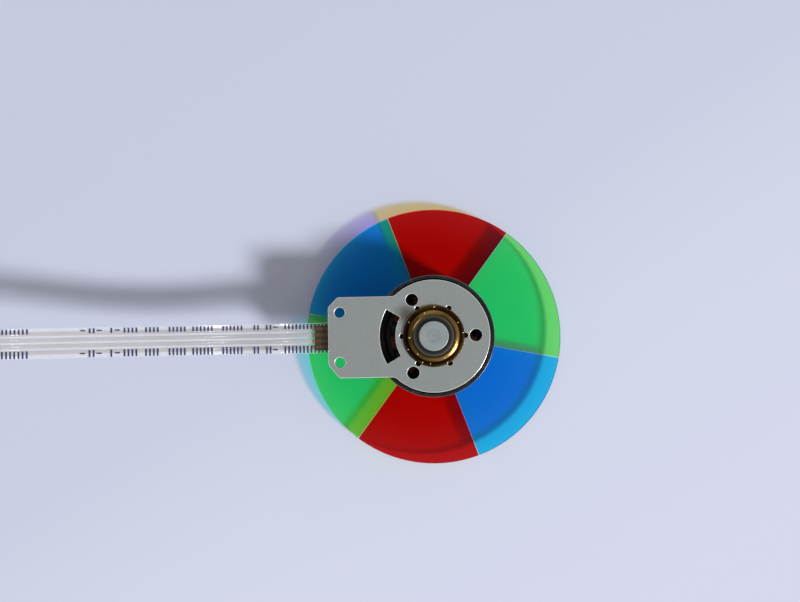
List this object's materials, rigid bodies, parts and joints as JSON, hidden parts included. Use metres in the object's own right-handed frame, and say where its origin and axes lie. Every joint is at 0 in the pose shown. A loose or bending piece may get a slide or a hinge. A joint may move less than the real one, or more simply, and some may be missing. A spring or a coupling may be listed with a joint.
{
  "type": "projector color wheel",
  "caption": "Dichroic glass disc in red, blue and green segments on a small outer-rotor motor with a tabbed base plate and a flat cable.",
  "frame": {"origin": "on the motor axis, at the front face of the clamp ring that the wheel lies on", "axes": "+Z along the motor axis from the front of the wheel to the base plate, -X along the plate's tab and the flat cable, +Y to the plate's side with the smaller tab corner"},
  "size_m": [0.154, 0.044, 0.0129],
  "materials": {
    "red_filter": "polished dichroic coating",
    "green_filter": "polished dichroic coating",
    "blue_filter": "polished dichroic coating",
    "turned_aluminium": "fine turned",
    "putty": "cured resin",
    "cup_steel": "satin dark plating",
    "bonded_magnet": "moulded",
    "shaft_steel": "ground",
    "washer_plastic": "moulded",
    "plate_steel": "stamped, satin plated",
    "brass": "turned and staked",
    "cap_steel": "turned",
    "pad_plastic": "moulded",
    "sintered_bronze": "oil-filled sinter",
    "core_steel": "laminated",
    "insulator_plastic": "moulded",
    "copper_wire": "enamelled copper wire",
    "polyimide": "amber film",
    "solder": "solder",
    "tinned_copper": "tinned",
    "cable_film": "translucent white film",
    "stiffener_film": "film"
  },
  "bodies": {
    "motor_base": {"base_plate": "plate_steel", "bearing_housing": "brass", "thrust_cap": "cap_steel", "thrust_pad": "pad_plastic", "sleeve_bearing": "sintered_bronze", "stator_core": "core_steel", "stator_insulator_front": "insulator_plastic", "stator_insulator_rear": "insulator_plastic", "stator_coils": "copper_wire", "coil_leads": "copper_wire", "flex_circuit": "polyimide", "solder_joints": "solder", "cable_bare_ends": "tinned_copper", "flat_cable": "cable_film", "cable_stiffener": "stiffener_film", "cable_contacts": "tinned_copper"},
    "wheel": {"shaft": "shaft_steel", "shaft_washer": "washer_plastic", "wheel_hub": "turned_aluminium", "rotor_yoke": "cup_steel", "ring_magnet": "bonded_magnet", "clamp_ring": "turned_aluminium", "balance_putty": "putty", "filter_red_1": "red_filter", "filter_blue_1": "blue_filter", "filter_green_1": "green_filter", "filter_red_2": "red_filter", "filter_blue_2": "blue_filter", "filter_green_2": "green_filter"}
  },
  "joints": [
    {"name": "wheel_spin", "type": "hinge", "parent": "motor_base", "child": "wheel", "pos_m": [0, 0, 0], "axis": [0, 0, 1], "continuous": true}
  ]
}
